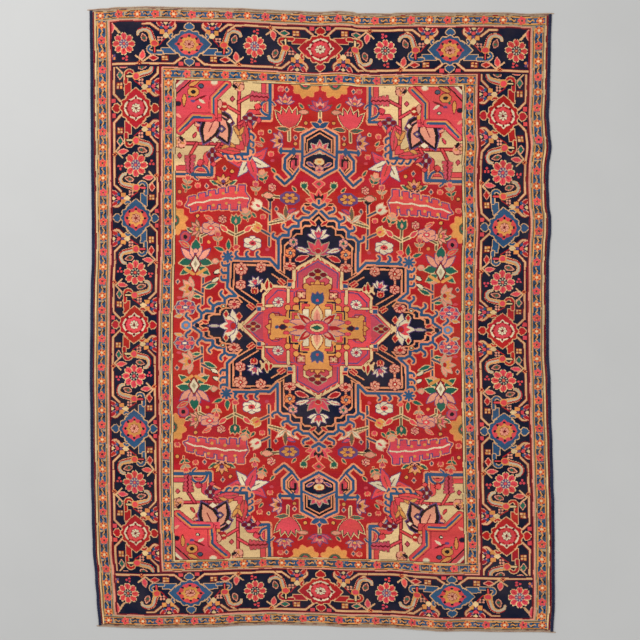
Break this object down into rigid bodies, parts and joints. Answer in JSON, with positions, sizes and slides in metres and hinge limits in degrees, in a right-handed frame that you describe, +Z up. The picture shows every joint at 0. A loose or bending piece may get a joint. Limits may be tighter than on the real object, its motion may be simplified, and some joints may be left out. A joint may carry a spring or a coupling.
{
  "type": "persian rug",
  "caption": "Room-size hand-knotted wool rug lying flat, with a central medallion, a wide dark border, overcast sides and bound ends.",
  "frame": {"origin": "on the floor under the middle of the rug's outline", "axes": "+Z up from the floor, +Y along the warps to the top end, +X across the rug to its right side"},
  "size_m": [2.5432, 3.4004, 0.009],
  "materials": {
    "pile": "matte clipped wool pile in red, navy, cream and coral",
    "selvedge": "matte overcast wool",
    "binding": "matte undyed cotton and wool"
  },
  "bodies": {
    "root": {"rug_body": "pile", "selvedge_left": "selvedge", "selvedge_right": "selvedge", "end_binding_bottom": "binding", "end_binding_top": "binding"}
  },
  "joints": []
}
